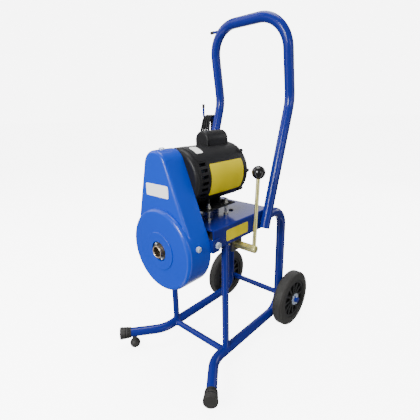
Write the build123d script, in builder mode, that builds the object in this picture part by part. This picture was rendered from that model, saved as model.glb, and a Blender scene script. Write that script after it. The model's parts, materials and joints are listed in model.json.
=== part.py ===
from build123d import *
import math
import os

os.makedirs("parts", exist_ok=True)
sides = ((1, "right"), (-1, "left"))
from_base = (Align.CENTER, Align.CENTER, Align.MIN)

# frame tubes
post_y = -120.7
frame_half_w = 112.0
tube_r = 15.0
tube_wall = 2.0
bar_r = 10.0
rail_z = 57.5
foot_bend_ahead = 55.5
foot_bend_y = post_y - foot_bend_ahead
foot_splay = 69.0
foot_end_x = frame_half_w + foot_splay
foot_end_ahead = 143.5
foot_end_y = post_y - foot_end_ahead
foot_bend_r = 90.0
upright_back = 302.0
upright_y = post_y + upright_back
rear_bend_r = 60.0
top_bend_r = 57.0
crossbar_ahead = 5.4
crossbar_y = post_y - crossbar_ahead

# rubber feet
cap_length = 35.5
cap_grip = 26.0
cap_mouth_r = 17.0
cap_end_r = 19.7
cap_ring_r = 20.4
cap_ring_width = 4.0
cap_ring_pitch = 8.0
cap_ring_count = 3
cap_ring_step = 1.0
ball_r = 17.0
ball_flat = 1.0
ball_back = 9.5
neck_r = 8.0

# wheels and axle
axle_r = 10.0
axle_bite = 2.0
axle_y = upright_y + tube_r + axle_r - axle_bite
wheel_r = 100.0
wheel_width = 36.0
wheel_side_gap = 5.0
wheel_inner_x = frame_half_w + tube_r + wheel_side_gap
wheel_outer_x = wheel_inner_x + wheel_width
axle_over_wheel = 13.0
axle_half = wheel_outer_x + axle_over_wheel
tire_inner_r = 71.0
tire_shoulder = 10.0
rim_inner_r = 61.0
rim_inset = 3.0
hub_r = 24.0
web_thick = 8.0
spoke_count = 12
spoke_width = 7.0
spoke_inset = 5.0
running_gap = 0.05
axial_gap = 0.6
washer_r = 21.0
washer_thick = 3.0
pin_r = 2.5
pin_half = 16.0
pin_over_wheel = 7.5
pin_x = wheel_outer_x + pin_over_wheel

# bed channel
post_lip = 2.0
channel_half_w = frame_half_w + bar_r - post_lip
plate_top = 466.0
upright_drop = 26.0
upright_top_z = plate_top - upright_drop
sheet = 3.0
flange_h = 55.5
fold_r = 4.0
channel_ahead = 54.0
channel_front = post_y - channel_ahead
channel_back = 213.0
channel_rear = post_y + channel_back
lip_h = 37.0
spare_hole_r = 6.0
spare_hole_x = 42.0
spare_hole_back = 116.0
spare_hole_y = post_y + spare_hole_back

# handle and hooks
handle_half_w = channel_half_w + tube_r
handle_low_back = 163.0
handle_low_y = post_y + handle_low_back
handle_low_z = 415.0
handle_kink_back = 282.0
handle_kink_y = post_y + handle_kink_back
handle_kink_z = 785.5
handle_top_back = 246.0
handle_top_y = post_y + handle_top_back
handle_top_z = 1014.0
handle_kink_r = 110.0
handle_corner_r = 90.0
handle_bolt_r = 4.0
handle_bolt_rise = (15.0, 35.0)
handle_head_across = 14.0
handle_head_h = 6.5
peg_r = 4.0
peg_drop = 12.0
peg_z = handle_top_z - peg_drop
peg_reach = 36.0
peg_cap_r = 4.8
peg_cap_length = 10.0
hook_z = 735.0
hook_reach = 54.0
hook_rise = 46.0
hook_bend_r = 12.0
hook_tip_length = 10.0
hook_tip_r = 4.8

# spindle line
spindle_z = 406.0
spindle_r = 17.5
cable_bore_r = 13.0
spindle_nose_ahead = 134.0
spindle_nose_y = post_y - spindle_nose_ahead
spindle_rear_back = 204.0
spindle_rear_y = post_y + spindle_rear_back
bush_r = 17.2
bush_bore_r = 14.2
bush_front_ahead = 149.0
bush_front_y = post_y - bush_front_ahead
nose_ring_r = 26.0
nose_ring_front_ahead = 138.5
nose_ring_front_y = post_y - nose_ring_front_ahead
nose_ring_back_ahead = 127.5
nose_ring_back_y = post_y - nose_ring_back_ahead
nose_screw_r = 2.9
nose_screw_circle = 21.8
nose_screw_turn = 118.5
nose_screw_head = 2.0
bush_chamfer = 1.0
bearing_half_w = 58.0
bearing_length = 32.0
bearing_boss_r = 30.0
bearing_ear_h = 14.0
bearing_bolt_x = 44.0
bearing_bolt_r = 5.0
bolt_head_across = 17.0
bolt_head_h = 7.0
front_bearing_ahead = 34.0
front_bearing_y = post_y - front_bearing_ahead
rear_bearing_back = 166.0
rear_bearing_y = post_y + rear_bearing_back

# belt drive
pulley_mid_ahead = 92.0
pulley_mid_y = post_y - pulley_mid_ahead
pulley_half_w = 12.0
driven_pitch_r = 94.0
drive_pitch_r = 30.0
rim_over_pitch = 6.0
pulley_web_half = 5.0
pulley_hub_r = 32.0
pulley_rim_depth = 22.0
belt_half_w = 5.0
belt_under = 4.0
belt_over = 5.0
belt_gap = 0.4
groove_low_half = belt_half_w + belt_gap
groove_flare = 2.0
groove_top_half = groove_low_half + groove_flare

# clutch
clutch_back = 56.0
clutch_y = post_y + clutch_back
lever_shaft_drop = 14.0
lever_shaft_z = spindle_z - lever_shaft_drop
lever_shaft_r = 11.0
lever_shaft_in_x = 38.0
lever_reach = 58.0
lever_shaft_out_x = channel_half_w + lever_reach
rod_inset = 7.5
lever_x = lever_shaft_out_x - rod_inset
knob_back = 15.0
knob_y = clutch_y + knob_back
knob_rise = 212.7
knob_z = lever_shaft_z + knob_rise
knob_r = 18.0
rod_r = 5.4
knob_bore_depth = 12.0
bracket_thick = 8.0
bracket_width = 44.0
bracket_low_drop = 18.0
bracket_low_z = lever_shaft_z - bracket_low_drop
hanger_gap = 5.0
bracket_out_x = channel_half_w - sheet - hanger_gap - bracket_thick
fork_thick = 8.0
hanger_fork_gap = 8.0
bracket_in_x = lever_shaft_in_x + fork_thick + hanger_fork_gap
fork_width = 20.0
fork_top = 10.0
fork_pin_r = 4.0
fork_pin_end_x = 30.5
collar_r = 34.0
collar_half = 16.0
collar_groove_r = 29.5
collar_groove_half = 4.7
collar_nose_r = 26.0
collar_nose_length = 8.0
chuck_r = 32.0
chuck_front_ahead = 12.0
chuck_front_y = post_y - chuck_front_ahead
chuck_rear_back = 20.0
chuck_rear_y = post_y + chuck_rear_back
jaw_count = 3
jaw_width = 10.0
jaw_length = 22.0
jaw_inner_r = 16.2
jaw_outer_r = 28.0
jaw_slot_outer_r = 31.4
jaw_gap = 0.3

# belt guard
guard_back_ahead = 62.5
guard_back_y = post_y - guard_back_ahead
guard_plate = 2.5
guard_wall = 3.5
guard_front_ahead = 125.0
guard_front_y = post_y - guard_front_ahead
drum_front_ahead = 138.0
drum_front_y = post_y - drum_front_ahead
drum_clear = 15.0
drum_r = driven_pitch_r + rim_over_pitch + drum_clear
crown_r = 44.0
guard_edge_r = 8.0
drum_edge_r = 11.0
inner_edge_r = 8.0
boss_r = 53.0
boss_rise = 3.0
boss_edge_r = 2.0
nose_hole_r = 27.5
plate_spindle_hole_r = 36.0
plate_shaft_hole_r = 24.0
guard_bolt_ahead = 104.0
guard_bolt_y = post_y - guard_bolt_ahead
guard_bolt_rise = 24.0
guard_bolt_z = spindle_z + guard_bolt_rise
guard_bolt_r = 4.0
guard_head_r = 8.0
guard_head_h = 4.5
guard_head_sink = 1.0
guard_bolt_reach = 10.0
bracket_leg = 24.0
bracket_top_drop = 25.0
bracket_top_z = plate_top - bracket_top_drop
bracket_bottom_drop = 61.0
bracket_bottom_z = plate_top - bracket_bottom_drop
bracket_sheet = 3.0
bracket_foot = 28.0
bracket_inner_x = channel_half_w - bracket_foot
bracket_bolt_ahead = 42.0
bracket_bolt_y = post_y - bracket_bolt_ahead
bracket_bolt_drop = 42.5
bracket_bolt_z = plate_top - bracket_bolt_drop
bracket_bolt_r = 5.0

# motor
motor_x = -8.0
motor_z = 588.0
motor_r = 82.0
motor_wall = 4.0
crown_left = 6.0
crown_x = motor_x - crown_left
crown_rise = 39.0
crown_z = motor_z + crown_rise
bell_plate_gap = 0.5
bell_nose_y = guard_back_y + guard_plate + bell_plate_gap
bell_edge_r = 10.0
shell_front_ahead = 10.0
shell_front_y = post_y - shell_front_ahead
shell_rear_back = 138.0
shell_rear_y = post_y + shell_rear_back
rear_rim_back = 155.0
rear_rim_y = post_y + rear_rim_back
rear_end_back = 172.0
rear_end_y = post_y + rear_end_back
rear_end_r = 58.0
shaft_r = 8.0
shaft_front_ahead = 108.0
shaft_front_y = post_y - shaft_front_ahead
shaft_rear_back = 160.0
shaft_rear_y = post_y + shaft_rear_back
rotor_r = 44.0
rotor_inset = 18.0
vent_count = 30
vent_width = 9.0
vent_length = 25.0
vent_depth = 16.0
vent_ahead = 27.0
vent_y = post_y - vent_ahead
tie_count = 8
tie_circle = 81.0
tie_ear_r = 6.0
tie_r = 2.5
tie_nut_across = 9.0
tie_nut_h = 5.0
tie_grip = 12.0

# motor foot and jack studs
foot_half_w = 75.0
foot_front_ahead = 22.0
foot_front_y = post_y - foot_front_ahead
foot_rear_back = 104.0
foot_rear_y = post_y + foot_rear_back
foot_plate_drop = 91.0
foot_plate_z = motor_z - foot_plate_drop
foot_plate_h = 4.0
saddle_half_w = 52.0
saddle_thick = 6.0
stud_half_w = 62.0
stud_front_back = 1.0
stud_rear_back = 76.0
stud_y = (post_y + stud_front_back, post_y + stud_rear_back)
stud_r = 4.0
stud_top_rise = 18.5
stud_top_z = foot_plate_z + stud_top_rise
stud_nut_across = 13.0
stud_nut_h = 6.5
stud_washer_r = 8.5
stud_washer_h = 1.6

# capacitor cover
hump_left = 1.0
hump_x = motor_x - hump_left
hump_rise = 94.0
hump_z = motor_z + hump_rise
hump_r = 25.5
hump_front_back = 46.0
hump_front_y = post_y + hump_front_back
hump_rear_back = 137.0
hump_rear_y = post_y + hump_rear_back
hump_edge_r = 6.0
hump_wall = 2.0

# switch and cord entry
switch_out_left = 114.0
switch_out_x = motor_x - switch_out_left
switch_front_back = 20.0
switch_front_y = post_y + switch_front_back
switch_rear_back = 84.0
switch_rear_y = post_y + switch_rear_back
switch_low_drop = 32.0
switch_low_z = motor_z - switch_low_drop
switch_high_rise = 34.0
switch_high_z = motor_z + switch_high_rise
switch_edge_r = 5.0
dial_y = (switch_front_y + switch_rear_y) / 2
dial_z = (switch_low_z + switch_high_z) / 2
dial_r = 17.0
dial_h = 12.0
dial_grip_h = 10.0
dial_grip_w = 9.0
gland_right = 11.0
gland_x = switch_out_x + gland_right
gland_drop = 16.0
gland_z = switch_high_z - gland_drop
gland_r = 10.0
gland_length = 14.0
relief_length = 24.0
relief_start_r = 6.0
relief_end_r = 5.6

# power cord
cord_r = 4.0
cord_exit_y = switch_rear_y + gland_length + relief_length
hank_inset = 11.0
hank_pitch = 8.7
hank_loops = 4
hank_bend_r = 26.0
hank_run = 208.0
hank_rest_gap = 0.4
hank_start_drop = 189.0
hank_end_drop = 232.0
hank_samples = 400
bend_share = 0.45
lead_shares = (
    (0.0, 0.16, 0.0),
    (0.067, 0.321, -0.017),
    (0.207, 0.462, -0.029),
    (0.402, 0.585, 0.0),
    (0.61, 0.689, 0.064),
    (0.793, 0.788, 0.191),
    (0.924, 0.882, 0.37),
    (0.985, 0.953, 0.577),
    (1.0, 1.0, 0.792),
)
plug_length = 40.0
plug_r = 11.0
plug_neck_r = 6.5
plug_neck_length = 14.0
plug_pin_r = 2.2
plug_pin_length = 19.0
plug_pin_pitch = 6.6


def save(builder, name):
    builder.part.label = name
    export_step(builder.part, f"parts/{name}.step")


def rod_x(radius, start, end, y, z, mode=Mode.ADD):
    with Locations(((start + end) / 2, y, z)):
        Cylinder(radius, abs(end - start), rotation=(0, 90, 0), mode=mode)


def rod_y(radius, x, start, end, z, mode=Mode.ADD):
    with Locations((x, (start + end) / 2, z)):
        Cylinder(radius, abs(end - start), rotation=(90, 0, 0), mode=mode)


def rod_z(radius, x, y, start, end, mode=Mode.ADD):
    with Locations((x, y, (start + end) / 2)):
        Cylinder(radius, abs(end - start), mode=mode)


def block(x0, x1, y0, y1, z0, z1, mode=Mode.ADD):
    with Locations(((x0 + x1) / 2, (y0 + y1) / 2, (z0 + z1) / 2)):
        Box(abs(x1 - x0), abs(y1 - y0), abs(z1 - z0), mode=mode)


def hexagon(across, height, origin, direction):
    with BuildSketch(Plane(origin=origin, z_dir=direction)) as outline:
        RegularPolygon(across / 2, 6, major_radius=False)
    extrude(outline.sketch, amount=height)


def tube_along(path, outer, inner=0.0):
    with BuildSketch(Plane(origin=path @ 0, z_dir=path % 0)) as section:
        Circle(outer)
        if inner > 0:
            Circle(inner, mode=Mode.SUBTRACT)
    sweep(section.sketch, path=path)


def foot_way(side):
    run = Vector(side * (foot_end_x - frame_half_w), foot_end_y - foot_bend_y, 0)
    return run.normalized()


def foot_spot(side, ahead):
    return Vector(side * foot_end_x, foot_end_y, rail_z) + foot_way(side) * ahead


axle_z = wheel_r
plate_low = plate_top - sheet
flange_low = plate_top - flange_h

# side frames: splayed foot, floor rail, rear upright and top bend in one tube
for side, word in sides:
    x = side * frame_half_w
    with BuildLine() as frame_line:
        FilletPolyline(
            foot_spot(side, cap_grip),
            (x, foot_bend_y, rail_z),
            (x, upright_y, rail_z),
            (x, upright_y, upright_top_z),
            (x, channel_rear, upright_top_z),
            radius=[foot_bend_r, rear_bend_r, top_bend_r],
        )
    with BuildPart() as side_frame:
        tube_along(frame_line.wire(), tube_r, tube_r - tube_wall)
        rod_x(axle_r, -axle_half, axle_half, axle_y, axle_z, Mode.SUBTRACT)
    save(side_frame, f"side_frame_{word}")

# ribbed rubber caps on the foot ends
with BuildPart() as foot_caps:
    for side, word in sides:
        with Locations(Plane(origin=foot_spot(side, 0), z_dir=foot_way(side))):
            Cone(cap_mouth_r, cap_end_r, cap_length, align=from_base)
            for ring in range(cap_ring_count):
                with Locations((0, 0, cap_length - (ring + 1) * cap_ring_pitch)):
                    Cylinder(cap_ring_r - ring * cap_ring_step, cap_ring_width, align=from_base)
            Cylinder(tube_r, cap_grip, align=from_base, mode=Mode.SUBTRACT)
save(foot_caps, "foot_caps")

# rubber ball feet, flat where they stand and coped under the tubes
with BuildPart() as foot_balls:
    for side, word in sides:
        ball_spot = foot_spot(side, -ball_back)
        with Locations((ball_spot.X, ball_spot.Y, ball_r - ball_flat)):
            Sphere(ball_r)
        rod_z(neck_r, ball_spot.X, ball_spot.Y, ball_r, rail_z)
        with Locations(Plane(origin=ball_spot, z_dir=foot_way(side))):
            Cylinder(tube_r, 2 * ball_r, mode=Mode.SUBTRACT)
        with Locations((ball_spot.X, ball_spot.Y, -ball_r)):
            Box(2 * ball_r, 2 * ball_r, 2 * ball_r, mode=Mode.SUBTRACT)
save(foot_balls, "foot_balls")

# front posts, coped on the rails
with BuildPart() as front_posts:
    for side, word in sides:
        x = side * frame_half_w
        rod_z(bar_r, x, post_y, rail_z, flange_low)
        rod_y(tube_r, x, post_y - tube_r, post_y + tube_r, rail_z, Mode.SUBTRACT)
save(front_posts, "front_posts")

# front crossbar, coped between the rails
with BuildPart() as crossbar:
    rod_x(bar_r, -frame_half_w, frame_half_w, crossbar_y, rail_z)
    for side, word in sides:
        x = side * frame_half_w
        rod_y(tube_r, x, crossbar_y - tube_r, crossbar_y + tube_r, rail_z, Mode.SUBTRACT)
save(crossbar, "front_crossbar")

# axle bar with a cross hole at each end
with BuildPart() as axle:
    rod_x(axle_r, -axle_half, axle_half, axle_y, axle_z)
    for side, word in sides:
        rod_z(pin_r, side * pin_x, axle_y, axle_z - pin_half, axle_z + pin_half, Mode.SUBTRACT)
save(axle, "axle_bar")

with BuildPart() as axle_pins:
    for side, word in sides:
        rod_z(pin_r, side * pin_x, axle_y, axle_z - pin_half, axle_z + pin_half)
save(axle_pins, "axle_pins")

# flat washers on both faces of each wheel
washer_starts = (wheel_inner_x - axial_gap - washer_thick, wheel_outer_x + axial_gap)
with BuildPart() as axle_washers:
    for side, word in sides:
        for start in washer_starts:
            rod_x(washer_r, side * start, side * (start + washer_thick), axle_y, axle_z)
    rod_x(axle_r, -axle_half, axle_half, axle_y, axle_z, Mode.SUBTRACT)
save(axle_washers, "axle_washers")

# wheels: rubber tire on a spoked centre
wheel_plane = Plane(origin=(0, axle_y, axle_z), x_dir=(1, 0, 0), z_dir=(0, -1, 0))
axle_axis = Axis((0, axle_y, axle_z), (1, 0, 0))
wheel_mid_x = (wheel_inner_x + wheel_outer_x) / 2
for side, word in sides:
    with BuildPart() as tire:
        with BuildSketch(wheel_plane):
            with Locations((side * wheel_mid_x, (tire_inner_r + wheel_r) / 2)):
                Rectangle(wheel_width, wheel_r - tire_inner_r)
            fillet(vertices().group_by(Axis.Y)[-1], tire_shoulder)
        revolve(axis=axle_axis)
    save(tire, f"wheel_tire_{word}")

    with BuildPart() as wheel_hub:
        with BuildSketch(wheel_plane):
            with Locations((side * wheel_mid_x, (axle_r + running_gap + hub_r) / 2)):
                Rectangle(wheel_width, hub_r - axle_r - running_gap)
            with Locations((side * wheel_mid_x, (hub_r + rim_inner_r) / 2)):
                Rectangle(web_thick, rim_inner_r - hub_r)
            with Locations((side * wheel_mid_x, (rim_inner_r + tire_inner_r) / 2)):
                Rectangle(wheel_width - 2 * rim_inset, tire_inner_r - rim_inner_r)
        revolve(axis=axle_axis)
        spoke_width_x = wheel_width - 2 * spoke_inset
        spoke_back = Plane(
            origin=(side * wheel_mid_x - spoke_width_x / 2, axle_y, axle_z), z_dir=(1, 0, 0)
        )
        with BuildSketch(spoke_back):
            with PolarLocations((hub_r + rim_inner_r) / 2, spoke_count):
                Rectangle(rim_inner_r - hub_r + 2 * rim_inset, spoke_width)
        extrude(amount=spoke_width_x)
    save(wheel_hub, f"wheel_hub_{word}")

# bed channel: folded plate with side flanges and a rear lip
channel_plane = Plane(origin=(0, channel_front, plate_top), x_dir=(1, 0, 0), z_dir=(0, 1, 0))
handle_lean = (handle_kink_y - handle_low_y) / (handle_kink_z - handle_low_z)
handle_bolts_at = [(handle_low_y + handle_lean * up, handle_low_z + up) for up in handle_bolt_rise]
stud_spots = [(motor_x + side * stud_half_w, y) for side, word in sides for y in stud_y]
with BuildPart() as bed_channel:
    with BuildSketch(channel_plane):
        Rectangle(2 * channel_half_w, flange_h, align=(Align.CENTER, Align.MIN))
        fillet(vertices().group_by(Axis.Y)[0], fold_r)
        with Locations((0, sheet)):
            inner_w = 2 * (channel_half_w - sheet)
            Rectangle(inner_w, flange_h, align=(Align.CENTER, Align.MIN), mode=Mode.SUBTRACT)
    extrude(amount=channel_rear - channel_front)
    inside = channel_half_w - sheet
    block(-inside, inside, channel_rear - sheet, channel_rear, plate_top - lip_h, plate_low)
    rod_z(spare_hole_r, spare_hole_x, spare_hole_y, plate_low, plate_top, Mode.SUBTRACT)
    for x, y in stud_spots:
        rod_z(stud_r, x, y, plate_low, plate_top, Mode.SUBTRACT)
    for y, z in handle_bolts_at:
        rod_x(handle_bolt_r, -channel_half_w, channel_half_w, y, z, Mode.SUBTRACT)
    rod_x(bracket_bolt_r, -channel_half_w, channel_half_w, bracket_bolt_y, bracket_bolt_z, Mode.SUBTRACT)
save(bed_channel, "bed_channel")

# handle: one bent tube, open at both lower ends
with BuildLine() as handle_line:
    w = handle_half_w
    FilletPolyline(
        (w, handle_low_y, handle_low_z),
        (w, handle_kink_y, handle_kink_z),
        (w, handle_top_y, handle_top_z),
        (-w, handle_top_y, handle_top_z),
        (-w, handle_kink_y, handle_kink_z),
        (-w, handle_low_y, handle_low_z),
        radius=[handle_kink_r, handle_corner_r, handle_corner_r, handle_kink_r],
    )
with BuildPart() as handle:
    tube_along(handle_line.wire(), tube_r, tube_r - tube_wall)
    for y, z in handle_bolts_at:
        rod_x(handle_bolt_r, -handle_half_w, handle_half_w, y, z, Mode.SUBTRACT)
save(handle, "handle")

# bolts that hold the handle to the flanges, headed on the inside
with BuildPart() as handle_bolts:
    for side, word in sides:
        inner_x = channel_half_w - sheet
        for y, z in handle_bolts_at:
            rod_x(handle_bolt_r, side * inner_x, side * handle_half_w, y, z)
            hexagon(handle_head_across, handle_head_h, (side * inner_x, y, z), (-side, 0, 0))
save(handle_bolts, "handle_bolts")

# cord peg near the top of the handle
peg_y = handle_top_y + (handle_top_z - peg_z) * (handle_kink_y - handle_top_y) / (
    handle_top_z - handle_kink_z
)
corner_drop = peg_z - (handle_top_z - handle_corner_r)
peg_root_x = handle_half_w - handle_corner_r + math.sqrt(handle_corner_r**2 - corner_drop**2)
with BuildPart() as cord_peg:
    rod_x(peg_r, -peg_root_x, -peg_root_x - tube_r - peg_reach, peg_y, peg_z)
    add(handle.part, mode=Mode.SUBTRACT)
    add(cord_peg.solids().sort_by(Axis.X)[0], mode=Mode.INTERSECT)
save(cord_peg, "cord_peg")

# lower hook: out from the leg, then turned up
hook_y = handle_low_y + handle_lean * (hook_z - handle_low_z)
hook_root_x = -handle_half_w - tube_r
hook_tip_x = hook_root_x - hook_reach
with BuildLine() as hook_line:
    FilletPolyline(
        (-handle_half_w, hook_y, hook_z),
        (hook_tip_x, hook_y, hook_z),
        (hook_tip_x, hook_y, hook_z + hook_rise),
        radius=[hook_bend_r],
    )
with BuildPart() as cord_hook:
    tube_along(hook_line.wire(), peg_r)
    add(handle.part, mode=Mode.SUBTRACT)
    add(cord_hook.solids().sort_by(SortBy.VOLUME)[-1], mode=Mode.INTERSECT)
save(cord_hook, "cord_hook")

# soft sleeves on the ends of the peg and the hook
with BuildPart() as hook_tips:
    tip_x = -peg_root_x - tube_r - peg_reach
    hook_end_z = hook_z + hook_rise
    rod_x(peg_cap_r, tip_x - sheet, tip_x + peg_cap_length, peg_y, peg_z)
    rod_x(peg_r, tip_x, tip_x + peg_cap_length, peg_y, peg_z, Mode.SUBTRACT)
    rod_z(hook_tip_r, hook_tip_x, hook_y, hook_end_z - hook_tip_length, hook_end_z + sheet)
    rod_z(peg_r, hook_tip_x, hook_y, hook_end_z - hook_tip_length, hook_end_z, Mode.SUBTRACT)
save(hook_tips, "hook_tips")

# pillow blocks under the plate
bearing_places = ((front_bearing_y, "front"), (rear_bearing_y, "rear"))
for mid_y, word in bearing_places:
    y0 = mid_y - bearing_length / 2
    y1 = mid_y + bearing_length / 2
    with BuildPart() as bearing:
        block(-bearing_boss_r, bearing_boss_r, y0, y1, spindle_z, plate_low)
        block(-bearing_half_w, bearing_half_w, y0, y1, plate_low - bearing_ear_h, plate_low)
        rod_y(bearing_boss_r, 0, y0, y1, spindle_z)
        rod_y(spindle_r + running_gap, 0, y0, y1, spindle_z, Mode.SUBTRACT)
        for side, name in sides:
            hole_low = plate_low - bearing_ear_h
            rod_z(bearing_bolt_r, side * bearing_bolt_x, mid_y, hole_low, plate_low, Mode.SUBTRACT)
    save(bearing, f"bearing_{word}")

with BuildPart() as bearing_bolts:
    for mid_y, word in bearing_places:
        for side, name in sides:
            ear_low = plate_low - bearing_ear_h
            rod_z(bearing_bolt_r, side * bearing_bolt_x, mid_y, ear_low, plate_low)
            hexagon(bolt_head_across, bolt_head_h, (side * bearing_bolt_x, mid_y, ear_low), (0, 0, -1))
save(bearing_bolts, "bearing_bolts")


def jaw_angles():
    return [90.0 + 360.0 * step / jaw_count for step in range(jaw_count)]


def radial_block(angle, inner, outer, width, y0, y1, mode=Mode.ADD):
    with Locations(Location((0, (y0 + y1) / 2, spindle_z), (0, -angle, 0))):
        with Locations(((inner + outer) / 2, 0, 0)):
            Box(outer - inner, abs(y1 - y0), width, mode=mode)


# hollow spindle with the jaw windows
jaw_mid_y = (chuck_front_y + chuck_rear_y) / 2
jaw_y0 = jaw_mid_y - jaw_length / 2
jaw_y1 = jaw_mid_y + jaw_length / 2
with BuildPart() as spindle:
    rod_y(spindle_r, 0, spindle_nose_y, spindle_rear_y, spindle_z)
    rod_y(cable_bore_r, 0, spindle_nose_y, spindle_rear_y, spindle_z, Mode.SUBTRACT)
    for angle in jaw_angles():
        slot_w = jaw_width + 2 * jaw_gap
        radial_block(angle, 0, chuck_r, slot_w, jaw_y0 - jaw_gap, jaw_y1 + jaw_gap, Mode.SUBTRACT)
save(spindle, "spindle")

# chuck body round the spindle, with a pocket for each jaw
with BuildPart() as chuck_body:
    rod_y(chuck_r + sheet, 0, chuck_front_y, chuck_rear_y, spindle_z)
    rod_y(spindle_r, 0, chuck_front_y, chuck_rear_y, spindle_z, Mode.SUBTRACT)
    for angle in jaw_angles():
        slot_w = jaw_width + 2 * jaw_gap
        ends = (jaw_y0 - jaw_gap, jaw_y1 + jaw_gap)
        radial_block(angle, 0, jaw_slot_outer_r, slot_w, ends[0], ends[1], Mode.SUBTRACT)
save(chuck_body, "chuck_body")

for number, angle in enumerate(jaw_angles(), start=1):
    with BuildPart() as jaw:
        radial_block(angle, jaw_inner_r, jaw_outer_r, jaw_width, jaw_y0, jaw_y1)
    save(jaw, f"jaw_{number}")

# bronze mouth bush and dark nose ring with its two screws
with BuildPart() as nose_bush:
    rod_y(bush_r, 0, bush_front_y, spindle_nose_y, spindle_z)
    rod_y(bush_bore_r, 0, bush_front_y, spindle_nose_y, spindle_z, Mode.SUBTRACT)
    chamfer(nose_bush.edges().group_by(Axis.Y)[0], bush_chamfer)
save(nose_bush, "nose_bush")

screw_turn = math.radians(nose_screw_turn)
screw_spots = [
    (
        side * nose_screw_circle * math.cos(screw_turn),
        spindle_z + side * nose_screw_circle * math.sin(screw_turn),
    )
    for side, word in sides
]
with BuildPart() as nose_ring:
    rod_y(nose_ring_r, 0, nose_ring_front_y, nose_ring_back_y, spindle_z)
    rod_y(bush_r, 0, nose_ring_front_y, spindle_nose_y, spindle_z, Mode.SUBTRACT)
    rod_y(spindle_r, 0, spindle_nose_y, nose_ring_back_y, spindle_z, Mode.SUBTRACT)
save(nose_ring, "nose_ring")

with BuildPart() as nose_screws:
    for x, z in screw_spots:
        rod_y(nose_screw_r, x, nose_ring_front_y - nose_screw_head, nose_ring_front_y, z)
save(nose_screws, "nose_screws")


# grooved pulleys on the spindle and on the motor shaft
def pulley(pitch_r, bore_r, x, z):
    rim_r = pitch_r + rim_over_pitch
    groove_r = pitch_r - belt_under - belt_gap
    plane = Plane(origin=(x, pulley_mid_y, z), x_dir=(0, 1, 0), z_dir=(1, 0, 0))
    with BuildSketch(plane) as profile:
        with BuildLine():
            Polyline(
                (-pulley_half_w, bore_r),
                (pulley_half_w, bore_r),
                (pulley_half_w, rim_r),
                (groove_top_half, rim_r),
                (groove_low_half, groove_r),
                (-groove_low_half, groove_r),
                (-groove_top_half, rim_r),
                (-pulley_half_w, rim_r),
                close=True,
            )
        make_face()
    revolve(profile.sketch, axis=Axis((x, pulley_mid_y, z), (0, 1, 0)))


with BuildPart() as driven_pulley:
    pulley(driven_pitch_r, spindle_r, 0, spindle_z)
    recess_r = driven_pitch_r + rim_over_pitch - pulley_rim_depth
    for start, end in ((pulley_web_half, pulley_half_w), (-pulley_half_w, -pulley_web_half)):
        with BuildSketch(Plane(origin=(0, pulley_mid_y + start, spindle_z), z_dir=(0, 1, 0))):
            Circle(recess_r)
            Circle(pulley_hub_r, mode=Mode.SUBTRACT)
        extrude(amount=end - start, mode=Mode.SUBTRACT)
save(driven_pulley, "driven_pulley")

with BuildPart() as motor_pulley:
    pulley(drive_pitch_r, shaft_r, motor_x, motor_z)
save(motor_pulley, "motor_pulley")


def hull_block(plane, depth, low_r, high_r, high_x, high_z, mode=Mode.ADD):
    with BuildSketch(plane) as outline:
        with Locations((0, spindle_z)):
            Circle(low_r)
        with Locations((high_x, high_z)):
            Circle(high_r)
        make_hull()
    extrude(outline.sketch, amount=depth, mode=mode)


# belt round the two pulleys
belt_plane = Plane(origin=(0, pulley_mid_y + belt_half_w, 0), x_dir=(1, 0, 0), z_dir=(0, -1, 0))
with BuildPart() as v_belt:
    belt_w = 2 * belt_half_w
    for radial, mode in ((belt_over, Mode.ADD), (-belt_under, Mode.SUBTRACT)):
        low_r = driven_pitch_r + radial
        high_r = drive_pitch_r + radial
        hull_block(belt_plane, belt_w, low_r, high_r, motor_x, motor_z, mode)
save(v_belt, "v_belt")

# belt guard: tapered shell with a proud drum, hollow behind
guard_plane = Plane(origin=(0, guard_back_y, 0), x_dir=(1, 0, 0), z_dir=(0, -1, 0))
upper_depth = guard_back_y - guard_front_y
spindle_axis = Axis((0, 0, spindle_z), (0, 1, 0))


def drum(radius, front_y, edge_r):
    plane = Plane(origin=(0, guard_back_y, spindle_z), x_dir=(0, 1, 0), z_dir=(1, 0, 0))
    with BuildSketch(plane) as profile:
        Rectangle(guard_back_y - front_y, radius, align=(Align.MAX, Align.MIN))
        fillet(profile.vertices().group_by(Axis.Y)[-1].sort_by(Axis.X)[0], edge_r)
    revolve(profile.sketch, axis=spindle_axis)


with BuildPart() as guard_space:
    inner_depth = upper_depth - guard_wall
    hull_block(guard_plane, inner_depth, drum_r - guard_wall, crown_r - guard_wall, crown_x, crown_z)
    drum(drum_r - guard_wall, drum_front_y + guard_wall, inner_edge_r)

with BuildPart() as guard_boss:
    rod_y(boss_r, 0, drum_front_y - boss_rise, drum_front_y + guard_wall, spindle_z)
    fillet(guard_boss.edges().group_by(Axis.Y)[0], boss_edge_r)

with BuildPart() as belt_guard:
    hull_block(guard_plane, upper_depth, drum_r, crown_r, crown_x, crown_z)
    fillet(belt_guard.edges().group_by(Axis.Y)[0], guard_edge_r)
    drum(drum_r, drum_front_y, drum_edge_r)
    add(guard_boss.part)
    add(guard_space.part, mode=Mode.SUBTRACT)
    rod_y(nose_hole_r, 0, drum_front_y - boss_rise, guard_back_y, spindle_z, Mode.SUBTRACT)
    rod_x(guard_bolt_r, -drum_r, drum_r, guard_bolt_y, guard_bolt_z, Mode.SUBTRACT)
save(belt_guard, "belt_guard")

# flat plate behind the guard
with BuildPart() as guard_back:
    hull_block(guard_plane, -guard_plate, drum_r, crown_r, crown_x, crown_z)
    rod_y(plate_spindle_hole_r, 0, guard_back_y, guard_back_y + guard_plate, spindle_z, Mode.SUBTRACT)
    rod_y(plate_shaft_hole_r, motor_x, guard_back_y, guard_back_y + guard_plate, motor_z, Mode.SUBTRACT)
save(guard_back, "guard_back_plate")

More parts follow.
